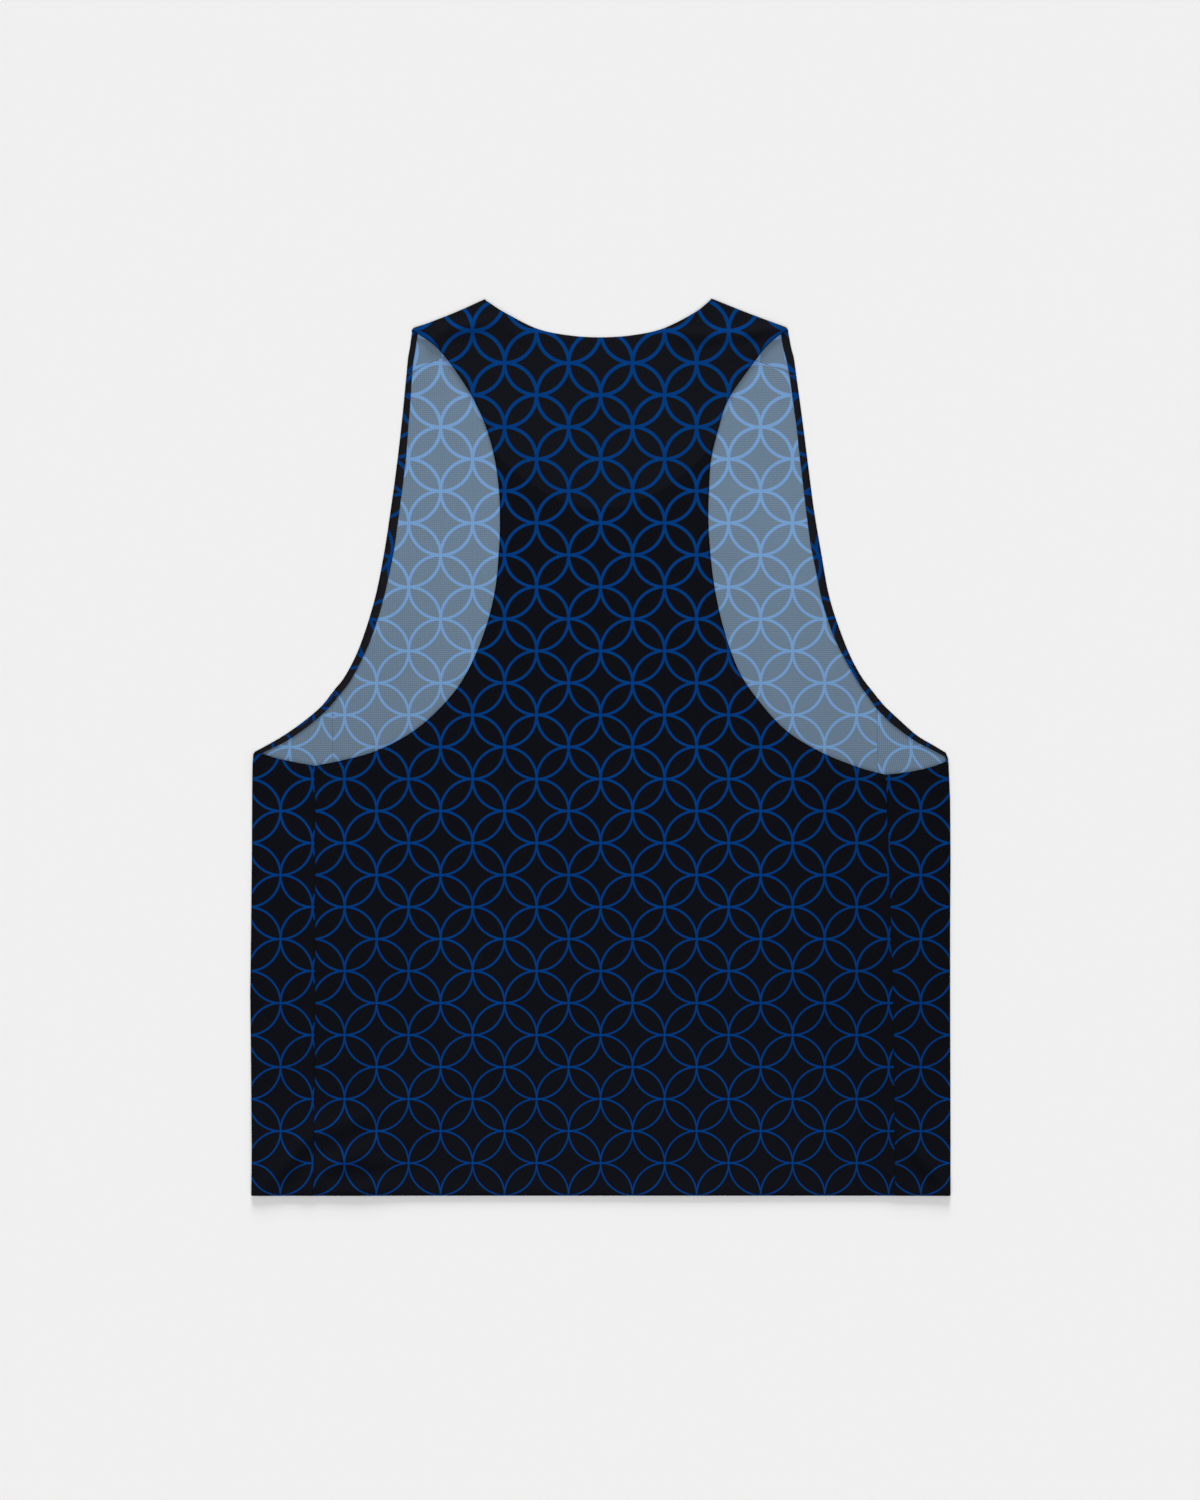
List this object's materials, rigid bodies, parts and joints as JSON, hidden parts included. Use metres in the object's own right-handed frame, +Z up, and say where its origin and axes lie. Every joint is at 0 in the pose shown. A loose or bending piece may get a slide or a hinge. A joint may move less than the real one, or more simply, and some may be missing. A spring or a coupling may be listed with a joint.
{
  "type": "running singlet",
  "caption": "Sleeveless running singlet laid flat, back up: deep armholes with turned-in edges, straps wrapped over both shoulders, side panels and an open hem.",
  "frame": {"origin": "middle of the outline's box in plan, on the surface the singlet lies on", "axes": "+X towards the wearer's right side, +Y from the hem to the neck, +Z up from the surface, out of the singlet's back"},
  "size_m": [0.5254, 0.6727, 0.0045],
  "materials": {
    "printed_knit": "near-black printed knit with thin blue lines, matt",
    "knit_inside": "grey-blue inner face of the knit, with paler lines showing through, matt"
  },
  "bodies": {
    "root": {"back_panel": "printed_knit", "front_panel": "knit_inside", "side_panel_left": "printed_knit", "side_panel_right": "printed_knit"}
  },
  "joints": []
}
